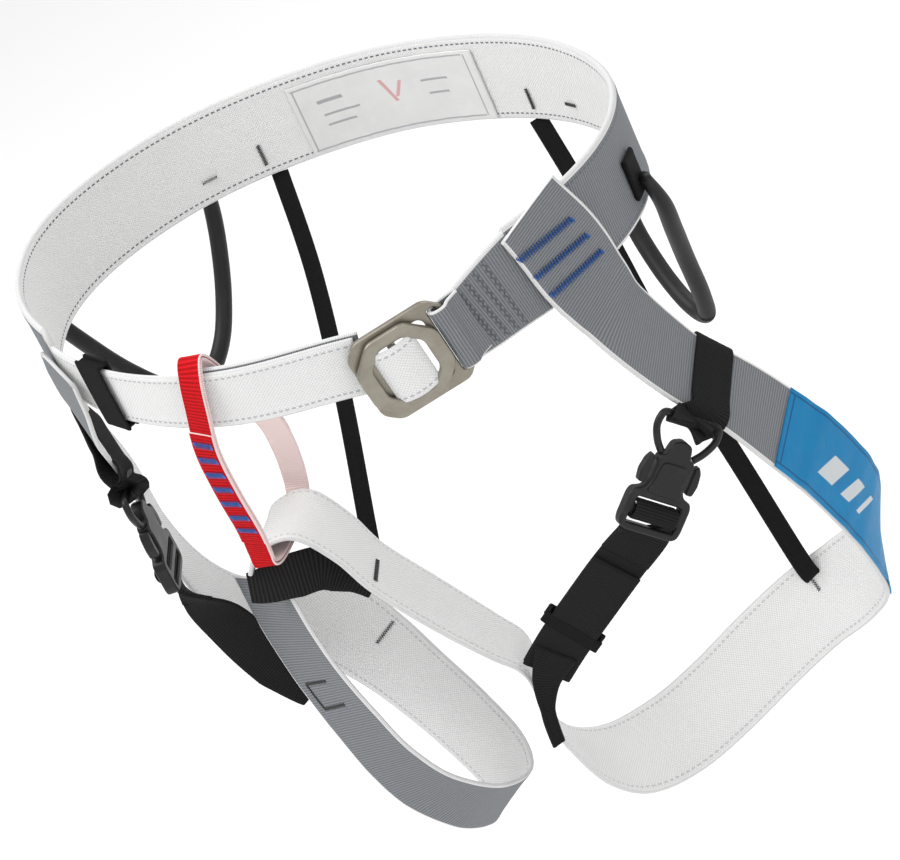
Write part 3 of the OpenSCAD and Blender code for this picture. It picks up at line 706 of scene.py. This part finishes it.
plate("buckle_front_plate", [rounded(move(octagon(42, 42, 11.5), -4, 0), 3),
                             rounded(move(octagon(27, 30, 7), -4, 0), 2.5)],
      6.1, 9.1, 0.9, BUCKLE, metal, "buckle_plate", ["buckle_plate"])
o, m = BUCKLE
tube("buckle_bar", [o + m @ np.array([-4, y, 7.0]) for y in (-14, -7, 0, 7, 14)], 2.0, metal,
     "buckle_plate")
CROWN = [(o + m @ np.array([x - 4, 0, z]), m[:, 1]) for x, z in
         ((-10.5, 6.4), (-6.5, 9.2), (0, 10.6), (6.5, 9.2), (10.5, 6.4))]
strip("strap_over_bar", CROWN, 29, 1.6, [strap_face, strap_face, rim_mat], body="buckle_plate",
      replaces=["strap_crown"], step=1.0)

# the tab runs round the rear bar of the buckle and back on itself
fold = [(33, 0.6), (27.5, 4.2), (25.2, 7.2), (21.5, 7.9), (18.6, 6.4), (18.4, 2.6), (21, 0.9), (26, -.6),
        (33, -1.6)]
FOLD = [(at(BUCKLE, (x, 0, z)), BUCKLE[1][:, 1]) for x, z in fold[::-1]]
strip("tab_fold", FOLD, 34, 1.8, [tab_face, tab_face, rim_mat], step=0.8, pipe=0.15)

# ----------------------------------------------------------- leg webbing
strip("leg_webbing_left", WEB, 45, 2, [leg_out, leg_in, rim_mat], pipe=0.3, step=2.2,
      replaces=["riser_l", "leg_loop_l", "crotch_bridge"],
      shape=lambda k: 1 - 0.12 * np.exp(-(k / 0.04) ** 2))
strip("leg_webbing_right", LEG_R, 45, 2, [leg_out, leg_in, rim_mat], pipe=0.3, step=2.2,
      replaces=["leg_loop_r", "riser_r"],
      shape=lambda k: 1 - 0.24 * np.exp(-((1 - k) / 0.06) ** 2))

PATCH0 = LOOP_L + 2.0
patch = strip("hip_patch", WEB, 44, 0.7, [patch_mat] * 3, s0=PATCH0, s1=PATCH0 + 3.2, off=1.45,
      replaces=["hip_patch"], pipe=0,
      lift=lambda k: 0.7 * (np.sin(k * 23) * np.sin(k * 9)) ** 2)

# the lining hangs down from under the front edge of the bridge
DOWN = (-.05, -.42, -.9)
LINING = [((-8, -92, -147), DOWN), ((-17, -88, -140), DOWN), ((-27, -91.5, -130), DOWN),
          ((-38, -99, -126), DOWN), ((-50, -106, -124), DOWN),
          ((-59, -109.5, -122), DOWN)]
strip("crotch_lining", LINING, 27, 1.6, [black_lining] * 3, replaces=["crotch_lining"],
      shape=lambda k: np.interp(k, (0, .3, .6, 1), (.35, .78, .84, .55)), pipe=0.1, step=1.2)

# ------------------------------------------------------------ belay loop
BELAY = [
    ((-17, -126, 21.5), (1, 0, 0)), ((-17.5, -132.5, 15.5), (1, -.1, 0)),
    ((-21, -134, 0), (1, -.15, .1)), ((-28, -131.5, -25), (1, -.15, .15)),
    ((-32, -126.5, -52), (1, -.15, .2)), ((-36, -119, -80), (1, -.15, .2)),
    ((-41, -113, -99), (1, -.1, .1)), ((-43, -110, -108.5), (1, 0, 0)),
    ((-43, -99, -112), (1, 0, 0)), ((-43, -74, -112), (1, 0, 0)),
    ((-43, -60, -110), (1, 0, 0)), ((-42, -54, -99), (1, .1, 0)),
    ((-32, -66, -72), (1, .15, .1)), ((-18, -90, -40), (1, .15, .1)),
    ((-15, -113, -8), (1, .15, 0)), ((-16, -119.5, 12), (1, 0, 0))]
strip("belay_inner_ply", BELAY, 12, 1.3, [pink_face, pink_face, red_edge], off=0.8,
      body="belay_loop", replaces=["belay_loop"], closed=True, pipe=0.1, step=1.5)
strip("belay_core_ply", BELAY, 11.2, 0.7, [red_core] * 3, body="belay_loop", off=-0.1,
      closed=True, pipe=0, step=1.5)
strip("belay_outer_ply", BELAY, 12.2, 1.3, [red_face, red_face, red_edge], off=-1.0,
      body="belay_loop", closed=True, pipe=0.1, step=1.5)
strip("belay_lap", BELAY, 12.4, 1.2, [red_face, red_face, red_edge], s0=2.55, s1=5.4, off=-1.9,
      body="belay_loop", pipe=0.1, step=1.5)
tacks = []
for i in range(7):
    tacks.append(bar_tack(BELAY, 2.79 + i * 0.36, -4.4, 4.4, 0.13, -2.75, 18))
threads("belay_bar_tacks", tacks, 0.42, thread_bright, "belay_loop", ["belay_tacks"])

# ------------------------------------------------------------------ tacks
lines = []
for s, x0, x1, skew in ((0.62, 20, -12, 0.42), (1.22, 20, -13, 0.42), (1.84, 20, -14, 0.42)):
    lines.append(bar_tack(WEB, s + skew * np.arange(44) / 43, x0, x1, 0.15, 1.5, 44))
threads("riser_bar_tacks", lines, 0.75, thread_blue, replaces=["riser_tacks"])
lines = []
for t, z, tall in ((-29, -12, 6), (29, -12, 6), (-40, -12, 0), (40, -12, 0)):
    side = ring_route(t - 4, t + 4, 1)
    if tall:
        lines.append(bar_tack(side, 4, z - tall, z + tall, 0.7, -1.9, 30))
    else:
        k = np.arange(24)
        lines.append(on_strip(side, 2.5 + 3 * k / 23, z + 1.4 * ((k % 2) - 0.5),
                              np.full(24, -1.9)))
threads("belt_bar_tacks", lines, 0.35, thread_black, replaces=["belt_tacks"])
lines = [bar_tack(LEG_R, 3.35 + d, -5, 14, 0.05, 1.35, 24) for d in (-.28, .28)]
k = np.arange(24)
lines.append(on_strip(LEG_R, 3.07 + 0.56 * k / 23, 14 + 1.2 * ((k % 2) - 0.5), np.full(24, 1.35)))
lines.append(bar_tack(WEB, LOOP_L + 18.05, -4, 14, 0.07, -1.35, 30))
lines.append(bar_tack(LEG_R, 12.05, -17, -2, 0.06, -1.35, 24))
lines.append(bar_tack(WEB, LOOP_L + 6.6, -17, -5, 0.06, -1.35, 20))
threads("leg_bar_tacks", lines, 0.35, thread_black, replaces=["leg_tacks"])

# -------------------------------------------------------------- leg clips
CLIP_L = local_frame((168.5, -59.5, -101), (.563, .365, -.742), (.551, .504, .665))
CLIP_R = local_frame((-104, -95, -62), (.3, -.95, 0), (0, 0, 1))


# radius of a band's fold round the bar of its clip's ring, mm
BAR_WRAP = 3.2


def band(name, route, s, where, node):
    """Black band folded round the leg webbing and down over the clip's bar."""
    c, a, n, t = (x[0] for x in ribs(route, np.array([s])))
    axis = where[1][:, 0] * (1 if where[1][:, 0] @ t > 0 else -1)
    # the band turns from square across the webbing to lie along the clip's bar
    inner = [(c + a * x + n * z, norm(t + (axis - t) * 0.75 * (x + 24.2) / 45.2)) for x, z in
             ((21, 2.6), (8, 2.7), (-8, 2.7), (-20, 2.6), (-24.2, 0), (-20, -2.6), (-8, -2.7),
              (8, -2.7), (21, -2.6))]
    fold = []
    centre = where[0]
    toward = norm(c - centre)
    outn = norm(n - (n @ toward) * toward)
    for ang in (-60, -20, 20, 60):
        r = math.radians(ang)
        fold.append(centre - BAR_WRAP * (toward * math.cos(r) + outn * math.sin(r)))
    pts = inner + [(p, axis) for p in fold]
    strip(name, pts, 21, 1.5, [black_web] * 3, closed=True, replaces=[node], step=1.0, pipe=0.1)


band("leg_band_l", WEB, 5.5, CLIP_L, "leg_band_l")
band("leg_band_r", LEG_R, 19.3, CLIP_R, "leg_band_r")


def clip(side, where):
    ring_body = "clip_ring_" + side
    main = "clip_body_" + side
    arm = [(14, 0, 0), (15.8, -3, 0), (15.6, -8, 0), (12.5, -14, 0), (8.5, -18.5, 0)]
    pts = [at(where, (-x, y, z)) for x, y, z in arm[::-1]] + [at(where, (x, 0, 0)) for x in (-7, 0, 7)]
    pts += [at(where, p) for p in arm]
    tube("clip_ring_" + side, pts, 1.8, plastic_black, ring_body, ["clip_ring_" + side])
    outline = [(-8.8, -19), (-6, -18), (-5.6, -15), (-4.6, -12), (0, -10.2), (4.6, -12), (5.6, -15),
               (6, -18), (8.8, -19), (10, -22), (8.8, -25), (8.8, -33), (11, -36.5), (15.4, -38),
               (16.5, -41), (16.5, -53), (15.5, -56.5), (12, -58), (-12, -58), (-15.5, -56.5),
               (-16.5, -53), (-16.5, -41), (-15.4, -38), (-11, -36.5), (-8.8, -33), (-8.8, -25), (-10, -22)]
    slots = [[(-11.8, -45.3), (11.8, -45.3), (11.8, -41.2), (-11.8, -41.2)],
             [(-12.8, -54.2), (12.8, -54.2), (12.8, -49.9), (-12.8, -49.9)]]
    plate("clip_body_" + side, [rounded(outline, 1.6)] + [rounded(s, 1) for s in slots],
          -3.2, 3.2, 1.1, where, plastic_black, main, ["clip_body_" + side])
    raised = [(-6.2, -22), (6.2, -22), (7.6, -33), (9.5, -38), (-9.5, -38), (-7.6, -33)]
    plate("clip_face_" + side, [rounded(raised, 2.5)], 2.6, 4.0, 0.6, where, plastic_black, main)
    for sx, tag in ((-1, "l"), (1, "r")):
        lever = [(11, -34.6), (14.6, -34.6), (15.6, -29), (14.6, -23), (12.6, -19.8), (11, -21.5)]
        lever = [(sx * x, y) for x, y in lever]
        plate("clip_lever_%s%s" % (side, tag), [rounded(lever[::sx], 1.2)], -2.4, 2.4, 0.8, where,
              plastic_black, "lever_%s%s" % (side, tag), ["clip_levers_%s%s" % (side, tag)])
    over = [(at(where, (0, y, z)), where[1][:, 0]) for y, z in
            ((-43.6, -2.5), (-43.6, 2.6), (-45, 4.6), (-47.6, 5.2), (-50.2, 4.6), (-51.6, 2.6),
             (-51.6, -2.5))]
    strip("clip_web_" + side, over, 23, 1.5, [black_web] * 3, body=main,
          replaces=["clip_web_" + side], step=1.0, pipe=0.1)


clip("l", CLIP_L)
clip("r", CLIP_R)

# ---------------------------------------------------------- adjusting straps
ADJ_L = [
    (at(CLIP_L, (0, -55, -1)), CLIP_L[1][:, 0]), ((134, -86, -143), (.563, .2, -.742)),
    ((116, -86, -158), (.62, .05, -.74)), ((92, -86, -180), (.68, -.05, -.72)),
    ((72, -85, -199), (.69, -.08, -.72)), ((57, -86, -214), (.6, .1, -.75))]
END_L = [
    ((67, -88.5, -203), (.69, -.08, -.72)), ((58, -93, -216), (.6, .2, -.7)),
    ((54, -98, -232), (.5, .4, -.3)), ((53, -100, -250), (.4, .6, 0))]
ADJ_R = [
    (at(CLIP_R, (0, -55, -1)), CLIP_R[1][:, 0]), ((-103, -96, -124), (.45, -.75, .25)),
    ((-99, -95, -137), (.7, -.29, .56)), ((-93, -92, -153), (.78, .22, .46)),
    ((-85, -92, -171), (.75, .5, .36)), ((-76, -91.5, -190), (.72, .61, .3)),
    ((-69, -89, -208), (.72, .61, .3))]
FLEX_L = ("clip_ring_l", "harness", ADJ_L[0][0], ADJ_L[3][0])
FLEX_R = ("clip_ring_r", "harness", ADJ_R[0][0], ADJ_R[3][0])
strip("leg_strap_l", ADJ_L, 25, 2, [black_web] * 3, s0=1.35, body=FLEX_L, replaces=["leg_strap_l"])
strip("leg_strap_l_under", ADJ_L, 25, 1.6, [black_web] * 3, s0=2.0, off=-2.4, body=FLEX_L)
strip("leg_strap_r", ADJ_R, 25, 2, [black_web] * 3, s0=1.45, body=FLEX_R,
      replaces=["leg_strap_r"], shape=lambda k: 1 - 0.4 * np.clip((k - 0.72) / 0.28, 0, 1))
# the strap's head stays in the clip, riding on the clip's body
for side, path, end in (("l", ADJ_L, 1.75), ("r", ADJ_R, 1.9)):
    strip("strap_head_" + side, path, 25.6, 2.8, [black_web] * 3, s1=end, body="clip_body_" + side,
          step=1.5)
strip("strap_end_l", END_L, 22, 2, [black_web] * 3, replaces=["strap_end_l"],
      shape=lambda k: 1 - 0.65 * np.clip(k * 1.6, 0, 1))
c, a, n, t = (x[0] for x in ribs(ADJ_L, np.array([3.6])))
strip("strap_keeper_l", sleeve_route(c, a, t, 14, 2.9), 8, 1.3, [black_knit] * 3,
      body="strap_keeper_l", replaces=["strap_keeper_l"], closed=True, pipe=0.1, step=1.0)

# ------------------------------------------------------ elastics, gear loops
ELASTIC_L = [((-74, 116, -26), (1, 0, 0)), ((-68, 92, -75), (1, 0, 0)),
             ((-63, 55, -130), (.95, .1, .1)), ((-59, 12, -185), (.9, .2, .2)),
             ((-58, -4, -209), (.8, .3, .3))]
ELASTIC_R = [((74, 116, -26), (1, 0, 0)), ((92, 95, -75), (1, 0, 0)),
             ((115, 62, -140), (.9, .3, .1)), ((140, 34, -200), (.85, .4, .2)),
             ((157, 17, -249), (.8, .4, .2))]
# each elastic is sewn to the outer face of its leg webbing, at the tack
ELASTIC_L.append((on_strip(LEG_R, [12.05], [-10], [2.4])[0], (.8, .3, .3)))
ELASTIC_R.append((on_strip(WEB, [LOOP_L + 6.6], [-11], [2.4])[0], (.8, .4, .2)))
strip("elastic_l", ELASTIC_L, 10, 1.6, [black_knit] * 3, replaces=["elastic_l"])
strip("elastic_r", ELASTIC_R, 10, 1.6, [black_knit] * 3, replaces=["elastic_r"])

GEAR_L = [(164, 6, -7), (166, 10, -25), (162.5, 18, -45), (158, 28, -68), (154, 38, -96),
          (148, 47, -114), (135, 60, -112), (121, 76, -97), (111, 91, -76), (112, 102, -50),
          (114, 107, -27), (109, 103, -7)]
GEAR_R = [(164, 6, -7), (168, 9, -24), (161, 14, -46), (152, 24, -73), (141, 36, -95),
          (130, 52, -101), (124, 70, -93), (120, 87, -74), (116, 100, -48), (114, 107, -27),
          (109, 103, -7)]
flat_ends = lambda q: 1 - 0.4 * (np.exp(-(q / 0.08) ** 2) + np.exp(-((1 - q) / 0.08) ** 2))
for side, sx, path in (("l", 1, GEAR_L), ("r", -1, GEAR_R)):
    tube("gear_loop_" + side, [(sx * x, y, z) for x, y, z in path], 4.5, sheath,
         "gear_loop_" + side, ["gear_loop_" + side], per=8, squeeze=flat_ends)
    # each tab: its angle round the ring, its height above the middle of the belt, and how tall it is
    for i, (t, z, tall) in enumerate(((87, -5, 22), (40, 1, 16))):
        tab_route = [(ring(sx * (t + d), z), (0, 0, 1)) for d in (-3.2, -1.6, 0, 1.6, 3.2)]
        strip("gear_tab_%s%d" % (side, i), tab_route, tall, 2.2, [black_web] * 3, off=2.9 * sx,
              replaces=["gear_tabs_" + side] if i == 0 else [])


# ------------------------------------------------------------------ studio
def studio():
    bpy.ops.mesh.primitive_plane_add(size=30, location=(0, 0, -0.62))
    floor = bpy.context.object
    floor.name = "floor"
    n = Nodes("floor")
    n.color(n.mix(n.noise(n.obj(), 3, 2), rgb(0.97, 0.97, 0.97), rgb(0.985, 0.985, 0.985)))
    n.set(Roughness=0.9)
    floor.data.materials.append(n.mat)
    world = bpy.data.worlds.new("studio")
    bpy.context.scene.world = world
    world.use_nodes = True
    sky = world.node_tree.nodes["Background"]
    sky.inputs["Color"].default_value = (1, 1, 1, 1)
    sky.inputs["Strength"].default_value = 0.7
    for name, loc, size, power in (("key", (-0.9, -0.5, 1.6), 1.4, 26),
                                   ("fill", (1.5, -1.6, 0.9), 1.6, 10),
                                   ("back", (0.4, 1.6, 1.3), 1.4, 12)):
        data = bpy.data.lights.new(name, "AREA")
        data.size = size
        data.energy = power
        lamp = bpy.data.objects.new(name, data)
        lamp.location = loc
        aim = Vector((0, 0, -0.12)) - Vector(loc)
        lamp.rotation_euler = aim.to_track_quat("-Z", "Y").to_euler()
        bpy.context.collection.objects.link(lamp)


studio()
bpy.context.scene.view_settings.view_transform = "Standard"
